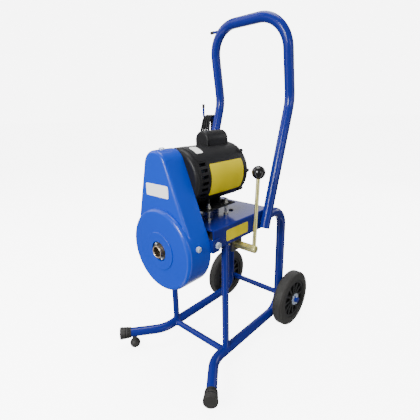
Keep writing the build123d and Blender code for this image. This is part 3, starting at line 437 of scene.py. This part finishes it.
# the other solids: shape from the frame, with sound shading and eased edges
skinning = {
    "weld": 1e-6,
    "flat": math.radians(0.2),  # faces nearer to one plane than this are joined
    "sharp": math.radians(32),
    "segments": 2,
}
easedEdges = {
    "bed_channel": 0.0005, "motor_foot": 0.0006, "switch_box": 0.0008, "switch_dial": 0.0008,
    "guard_brackets": 0.0005, "handle_bolts": 0.0005, "bracket_bolts": 0.0006, "bearing_bolts": 0.0006,
    "stud_nuts": 0.0006, "guard_bolts": 0.0012, "guard_back_plate": 0.0004, "axle_washers": 0.0004,
    "nose_screws": 0.0006, "bearing_front": 0.0012, "bearing_rear": 0.0012, "lever_hangers": 0.0006,
    "lever_fork": 0.0006, "clutch_collar": 0.0006, "axle_bar": 0.0010, "motor_tie_bolts": 0.0005,
    "nose_ring": 0.0006, "wheel_hub_right": 0.0008, "wheel_hub_left": 0.0008, "foot_caps": 0.0008,
    "motor_front_bell": 0.0006, "hook_tips": 0.0008,
}


def skin(s, node):
    shell = bmesh.new()
    shell.from_mesh(nodes[node].data)
    bmesh.ops.remove_doubles(shell, verts=shell.verts, dist=s["weld"])
    bmesh.ops.dissolve_limit(
        shell, angle_limit=s["flat"], verts=shell.verts, edges=shell.edges, delimit={"NORMAL"}
    )
    mesh = bpy.data.meshes.new(node + "_skin")
    shell.to_mesh(mesh)
    shell.free()
    mesh.materials.clear()
    mesh.materials.append(coats[node])
    mesh.shade_smooth()
    mesh.set_sharp_from_angle(angle=s["sharp"])
    piece = newPiece(node + "_skin", mesh, bodyOf[node], slotOf[node], node)
    if node in easedEdges:
        edge = piece.modifiers.new("easedEdges", "BEVEL")
        edge.width = easedEdges[node]
        edge.segments = s["segments"]
        edge.limit_method = "ANGLE"
        edge.angle_limit = s["sharp"]
        edge.use_clamp_overlap = True
    even = piece.modifiers.new("evenShading", "WEIGHTED_NORMAL")
    even.keep_sharp = True


cordNodes = frame["record"]["physics"]["cord_nodes"]
for node in nodes:
    if node not in cordNodes:
        skin(skinning, node)
for node in powerCord["carried"]:
    nodes[node].data.materials.clear()
    nodes[node].data.materials.append(coats[node])
print("solids dressed")


# a geometry tree with named inputs, run once over a mesh and made plain
class Grower(Web):
    def __init__(self, name, **inputs):
        super().__init__(bpy.data.node_groups.new(name, "GeometryNodeTree"))
        sockets = {"Geometry": "NodeSocketGeometry", **inputs, "Material": "NodeSocketMaterial"}
        for label, kind in sockets.items():
            self.tree.interface.new_socket(label, in_out="INPUT", socket_type=kind)
        self.tree.interface.new_socket("Geometry", in_out="OUTPUT", socket_type="NodeSocketGeometry")
        self.given = self.tree.nodes.new("NodeGroupInput")

    def take(self, label):
        return Sock(self, self.given.outputs[label])

    def close(self, shape):
        real = self.put("GeometryNodeRealizeInstances", {}, {0: shape})
        smooth = self.put("GeometryNodeSetShadeSmooth", {}, {0: real})
        painted = self.put("GeometryNodeSetMaterial", {}, {0: smooth, "Material": self.take("Material")})
        self.put("NodeGroupOutput", {}, {0: painted}, out=None)

    def grow(self, mesh, values):
        holder = bpy.data.objects.new("holder", mesh)
        bpy.context.scene.collection.objects.link(holder)
        modifier = holder.modifiers.new("grow", "NODES")
        modifier.node_group = self.tree
        for item in self.tree.interface.items_tree:
            if item.in_out == "INPUT" and item.name in values:
                modifier[item.identifier] = values[item.name]
        graph = bpy.context.evaluated_depsgraph_get()
        grown = bpy.data.meshes.new_from_object(holder.evaluated_get(graph))
        holder.modifiers.remove(modifier)
        bpy.data.objects.remove(holder)
        return grown


# painted weld beads where bars and rods meet the tubes
weldBeads = {
    "width": 0.0050,
    "ripple": 0.0026,
    "depth": 0.20,  # how far the ripples dip, as a share of the bead
    "step": 0.0007,
    "sides": 8,
    "corners": 40,
    "railX": 0.112,
    "railZ": 0.0575,
    "postY": -0.1207,
    "crossbarY": -0.1261,
    "barRadius": 0.010,
    "tubeRadius": 0.015,
    "hookPlace": (-0.135, 0.1451, 0.735),
    "hookRadius": 0.004,
    "legWay": (0, 0.3212, 1),  # slope of the handle's leg at the hook
}


# corners of a circle round a direction, as steps away from its centre
def ring(way, radius, corners):
    across = way.orthogonal().normalized()
    beside = way.cross(across)
    angles = [2 * math.pi * k / corners for k in range(corners)]
    return [radius * (math.cos(angle) * across + math.sin(angle) * beside) for angle in angles]


# line where a bar, from its place on the tube's axis and its way out, meets the tube's skin
def seam(w, centre, way, radius, tubeWay):
    centre, way, tubeWay = Vector(centre), Vector(way), Vector(tubeWay).normalized()
    rise = way - way.dot(tubeWay) * tubeWay
    points = []
    for out in ring(way, radius, w["corners"]):
        flat = out - out.dot(tubeWay) * tubeWay
        a, b, c = rise.dot(rise), flat.dot(rise), flat.dot(flat) - w["tubeRadius"] ** 2
        points.append(centre + out + way * ((math.sqrt(b * b - a * c) - b) / a))
    return points


def makeBeads(name, spec, loops, slotName):
    web = Grower("beadTree", Width="NodeSocketFloat", Ripple="NodeSocketFloat", Step="NodeSocketFloat")
    line = web.put("GeometryNodeMeshToCurve", {}, {0: web.take("Geometry")})
    spacing = {"Curve": line, "Length": web.take("Step")}
    line = web.put("GeometryNodeResampleCurve", {"mode": "LENGTH"}, spacing)
    turn = web.put("GeometryNodeSplineParameter", out="Length") * math.pi
    wave = web.reckon("SINE", web.reckon("DIVIDE", turn, web.take("Ripple")))
    swell = (1 - spec["depth"]) + spec["depth"] * web.reckon("ABSOLUTE", wave)
    circle = {"Resolution": spec["sides"], "Radius": web.take("Width") * 0.5}
    section = web.put("GeometryNodeCurvePrimitiveCircle", {}, circle)
    web.close(web.put("GeometryNodeCurveToMesh", {}, {0: line, 1: section, "Scale": swell}))
    points, edges = [], []
    for loop in loops:
        first = len(points)
        points += loop
        edges += [(first + k, first + (k + 1) % len(loop)) for k in range(len(loop))]
    base = bpy.data.meshes.new(name)
    base.from_pydata(points, edges, [])
    values = {key.capitalize(): spec[key] for key in ("width", "ripple", "step")}
    newPiece(name, web.grow(base, {**values, "Material": finishes[slotName]}), "machine", slotName)


def makeWelds(w):
    posts = [((side * w["railX"], w["postY"], w["railZ"]), (0, 0, 1)) for side in (1, -1)]
    bars = [((side * w["railX"], w["crossbarY"], w["railZ"]), (-side, 0, 0)) for side in (1, -1)]
    seams = [seam(w, place, way, w["barRadius"], (0, 1, 0)) for place, way in posts + bars]
    seams.append(seam(w, w["hookPlace"], (-1, 0, 0), w["hookRadius"], w["legWay"]))
    makeBeads("weld_beads", w, seams, "tube_blue")


makeWelds(weldBeads)

# fine low rings round the necks of the foot caps, in the cord's near-black, darker than the caps' rubber:
# painted shade standing for the grooves between the ribs
capRibShade = {
    "width": 0.0024,
    "ripple": 0.0040,
    "depth": 0.0,
    "step": 0.0020,
    "sides": 8,
    "corners": 48,
    "mouth": (0.181, -0.2642, 0.0575),  # right cap's mouth, and the way it points
    "way": (0.617, -0.787, 0.0),
    # place along the cap, radius
    "rings": ((0.0030, 0.0168), (0.0068, 0.0171), (0.0106, 0.0174), (0.0175, 0.0181)),
}


def makeRibShade(r):
    loops = []
    for side in (1, -1):
        mirror = Vector((side, 1, 1))
        mouth, way = Vector(r["mouth"]) * mirror, Vector(r["way"]) * mirror
        for along, radius in r["rings"]:
            outs = ring(way.normalized(), radius, r["corners"])
            loops.append([mouth + along * way + out for out in outs])
    makeBeads("cap_ribs", r, loops, "cord_black")


makeRibShade(capRibShade)

# domed socket heads: over the two side bolts of the guard and on its crown, and over the nose screws
guardScrews = {
    "name": "guard_screw_heads",
    "body": "machine",
    "radius": 0.0080,
    "rise": 0.0032,
    "segments": 28,
    # radius and height of the turned outline, as shares of the head's
    "outline": (
        (0, 0.35), (0.34, 0.35), (0.36, 0.96), (0.48, 1.0), (0.80, 0.78), (1.0, 0.22), (1.0, -0.6), (0, -0.6),
    ),
    "places": ((0.1162, -0.2247, 0.430), (-0.1162, -0.2247, 0.430), (-0.014, -0.2170, 0.6722)),
    "ways": ((1, 0, 0), (-1, 0, 0), (0, 0, 1)),
}
noseScrews = {
    **guardScrews,
    "name": "nose_screw_heads",
    "body": "spindle",
    "radius": 0.0032,
    "rise": 0.0024,
    "places": ((-0.0104, -0.2606, 0.4252), (0.0104, -0.2606, 0.3868)),
    "ways": ((0, -1, 0), (0, -1, 0)),
}
madeSharp = math.radians(40)


def turned(name, outline, segments):
    shell = bmesh.new()
    angles = [2 * math.pi * k / segments for k in range(segments)]
    rings = []
    for radius, height in outline:
        if rings and (radius, height) == outline[0]:
            rings.append(rings[0])
        elif radius == 0:
            rings.append([shell.verts.new((0, 0, height))] * segments)
        else:
            places = [(radius * math.cos(angle), radius * math.sin(angle), height) for angle in angles]
            rings.append([shell.verts.new(place) for place in places])
    for upper, lower in zip(rings, rings[1:]):
        for k in range(segments):
            n = (k + 1) % segments
            corners = list(dict.fromkeys((upper[k], lower[k], lower[n], upper[n])))
            shell.faces.new(corners)
    bmesh.ops.recalc_face_normals(shell, faces=shell.faces)
    mesh = bpy.data.meshes.new(name)
    shell.to_mesh(mesh)
    shell.free()
    return mesh


def makeHeads(g):
    outline = [(g["radius"] * radius, g["rise"] * height) for radius, height in g["outline"]]
    pattern = bpy.data.objects.new("screwPattern", turned("screwHead", outline, g["segments"]))
    web = Grower("screwTree", Pattern="NodeSocketObject")
    shape = web.put("GeometryNodeObjectInfo", {}, {"Object": web.take("Pattern")}, out="Geometry")
    way = web.put("GeometryNodeInputNamedAttribute", {"data_type": "FLOAT_VECTOR"}, {"Name": "way"})
    turn = web.put("FunctionNodeAlignRotationToVector", {"axis": "Z"}, {"Vector": way})
    values = {"Points": web.take("Geometry"), "Instance": shape, "Rotation": turn}
    web.close(web.put("GeometryNodeInstanceOnPoints", {}, values))
    base = bpy.data.meshes.new("screwPlaces")
    base.from_pydata(g["places"], [], [])
    ways = base.attributes.new("way", "FLOAT_VECTOR", "POINT")
    ways.data.foreach_set("vector", [value for way in g["ways"] for value in way])
    mesh = web.grow(base, {"Pattern": pattern, "Material": finishes["steel"]})
    mesh.set_sharp_from_angle(angle=madeSharp)
    newPiece(g["name"], mesh, g["body"], "steel")
    bpy.data.objects.remove(pattern)


makeHeads(guardScrews)
makeHeads(noseScrews)

# rubber grommet in the spare hole of the bed
bedGrommet = {
    "place": (0.042, -0.0047, 0.4660),
    "segments": 32,
    # radius and height of the turned outline, closed on itself
    "outline": (
        (0.0030, -0.0030), (0.0030, 0.0020), (0.0038, 0.0030), (0.0060, 0.0028), (0.0072, 0.0014),
        (0.0072, 0.0001), (0.0057, 0.0001), (0.0057, -0.0030), (0.0030, -0.0030),
    ),
}


def makeGrommet(g):
    mesh = turned("bed_grommet", g["outline"], g["segments"])
    mesh.transform(Matrix.Translation(g["place"]))
    mesh.shade_smooth()
    newPiece("bed_grommet", mesh, "machine", "cord_black")


makeGrommet(bedGrommet)

# plain plates, and the cover over the bell's upper slots, flat or bent like what they lie on
barePlates = {
    "thick": 0.0004,
    "sunk": 0.0003,
    "corner": 0.004,
    "across": 36,
    "down": 18,
    "motorX": -0.008,
    "motorZ": 0.588,
    "motorRadius": 0.082,
    "plates": (
        # bent ones: place along the motor and turn round it; flat ones: middle, way across, way out
        {
            "name": "drip_plate", "slot": "motor_black", "finish": finishes["motor_black"],
            "size": (0.033, 0.153), "bent": (-0.1465, 0.0), "lift": 0.0004,
        },
        {
            "name": "motor_tag", "slot": "zinc", "finish": plateFinishes["plateWhite"],
            "size": (0.026, 0.033), "bent": (-0.133, 24.5), "lift": 0.0010,
        },
        {
            "name": "motor_plate", "slot": "brass", "finish": plateFinishes["plateYellow"],
            "size": (0.140, 0.092), "bent": (-0.055, 94.0), "lift": 0.0,
        },
        {
            "name": "bed_plate_right", "slot": "brass", "finish": plateFinishes["plateYellow"],
            "size": (0.098, 0.032), "flat": ((0.120, -0.0735, 0.436), (0, 1, 0), (1, 0, 0)), "lift": 0.0,
        },
        {
            "name": "guard_plate", "slot": "zinc", "finish": plateFinishes["plateWhite"],
            "size": (0.088, 0.033), "flat": ((-0.009, -0.2457, 0.5685), (1, 0, 0), (0, -1, 0)), "lift": 0.0,
        },
    ),
}


def plateSpot(p, plate, u, v, lift):
    if "bent" in plate:
        along, turn = plate["bent"]
        angle = math.radians(turn) - v / p["motorRadius"]
        reach = p["motorRadius"] + lift
        x = p["motorX"] + reach * math.sin(angle)
        return Vector((x, along + u, p["motorZ"] + reach * math.cos(angle)))
    middle, across, out = (Vector(part) for part in plate["flat"])
    return middle + u * across + v * Vector((0, 0, 1)) + lift * out


def makePlate(p, plate):
    wide, tall = plate["size"]
    shell = bmesh.new()
    layers = []
    for lift in (plate["lift"] - p["sunk"], plate["lift"] + p["thick"]):
        grid = []
        for row in range(p["down"] + 1):
            v = tall * (row / p["down"] - 0.5)
            past = max(0.0, abs(v) - (tall / 2 - p["corner"]))
            half = wide / 2 - p["corner"] + math.sqrt(max(0.0, p["corner"] ** 2 - past**2))
            line = [2 * half * (k / p["across"] - 0.5) for k in range(p["across"] + 1)]
            grid.append([shell.verts.new(plateSpot(p, plate, u, v, lift)) for u in line])
        layers.append(grid)
    under, over = layers
    for row in range(p["down"]):
        for k in range(p["across"]):
            for g in layers:
                shell.faces.new((g[row][k], g[row][k + 1], g[row + 1][k + 1], g[row + 1][k]))
    rim = [(0, k) for k in range(p["across"])] + [(row, p["across"]) for row in range(p["down"])]
    rim += [(p["down"], k) for k in range(p["across"], 0, -1)] + [(row, 0) for row in range(p["down"], 0, -1)]
    for (r0, k0), (r1, k1) in zip(rim, rim[1:] + rim[:1]):
        shell.faces.new((under[r0][k0], under[r1][k1], over[r1][k1], over[r0][k0]))
    bmesh.ops.recalc_face_normals(shell, faces=shell.faces)
    mesh = bpy.data.meshes.new(plate["name"])
    shell.to_mesh(mesh)
    shell.free()
    mesh.materials.append(plate["finish"])
    mesh.shade_smooth()
    mesh.set_sharp_from_angle(angle=madeSharp)
    newPiece(plate["name"], mesh, "machine", plate["slot"])


for plate in barePlates["plates"]:
    makePlate(barePlates, plate)
print("welds, screws and plates made")

# pale floor and soft studio light
studio = {
    "floor": {"half": 30.0, "colour": (0.93, 0.93, 0.93, 1), "rough": 0.7, "glow": 6.4},
    # strengths behind the part, on it and from under it; the last two blend this far either side of level
    "sky": {"seen": 7.0, "fill": 0.40, "below": 0.30, "horizon": 0.1},
    # upright light strips low round the part: wave values at their edge and core, heights where they fade
    "strips": {"count": 3, "start": 0.14, "glow": 3.0, "edges": (0.80, 0.97), "fade": (0.25, 0.10)},
    # name, place, side in metres, watts
    "boxes": (
        ("keyBox", (0.30, -2.1, 1.38), 0.9, 63),
        ("glintBox", (0.40, -2.2, 1.50), 0.25, 14),
        ("leftBox", (-2.2, -1.2, 2.0), 2.2, 40),
        ("topBox", (-0.3, 0.2, 3.0), 1.8, 75),
        ("backBox", (-1.3, 2.2, 1.15), 1.6, 10),
        ("rightBox", (2.3, -0.7, 1.2), 0.5, 7),
        ("rearBox", (0.9, 2.4, 1.2), 1.0, 16),
    ),
    "aim": (0, 0, 0.5),
}


def makeFloor(spec):
    half = spec["half"]
    corners = [(-half, -half, 0), (half, -half, 0), (half, half, 0), (-half, half, 0)]
    mesh = bpy.data.meshes.new("floor")
    mesh.from_pydata(corners, [], [(0, 1, 2, 3)])
    pale = Finish(
        "paleFloor", Roughness=spec["rough"], Base_Color=spec["colour"], Emission_Color=(1, 1, 1, 1),
        Emission_Strength=spec["glow"],
    )
    mesh.materials.append(pale.material)
    floor = bpy.data.objects.new("floor", mesh)
    bpy.context.scene.collection.objects.link(floor)
    floor.visible_diffuse = False
    floor.visible_glossy = False


def makeSky(sky, strips):
    world = bpy.data.worlds.new("studio")
    world.use_nodes = True
    web = Web(world.node_tree)
    way = web.put("ShaderNodeTexCoord", out="Generated")
    tall = web.heightOf(way)
    light = web.ranged(tall, -sky["horizon"], sky["horizon"], sky["below"], sky["fill"])
    turn = web.put("ShaderNodeTexGradient", {"gradient_type": "RADIAL"}, {0: way}, out=1) + strips["start"]
    wave = web.reckon("COSINE", turn * (2 * math.pi * strips["count"]))
    strip = web.ranged(wave, *strips["edges"], 0.0, strips["glow"])
    light = light + strip * web.ranged(tall, *strips["fade"])
    seen = web.put("ShaderNodeLightPath", out="Is Camera Ray")
    strength = light * (1 - seen) + sky["seen"] * seen
    background = web.tree.nodes["Background"]
    web.tree.links.new(strength.socket, background.inputs["Strength"])
    background.inputs["Color"].default_value = (1, 1, 1, 1)
    bpy.context.scene.world = world


def makeBoxes(boxes, aim):
    for name, place, size, power in boxes:
        light = bpy.data.lights.new(name, "AREA")
        light.size = size
        light.energy = power
        lamp = bpy.data.objects.new(name, light)
        bpy.context.scene.collection.objects.link(lamp)
        lamp.location = place
        lamp.rotation_mode = "QUATERNION"
        lamp.rotation_quaternion = (Vector(aim) - Vector(place)).to_track_quat("-Z", "Y")


makeFloor(studio["floor"])
makeSky(studio["sky"], studio["strips"])
makeBoxes(studio["boxes"], studio["aim"])
print("studio made")
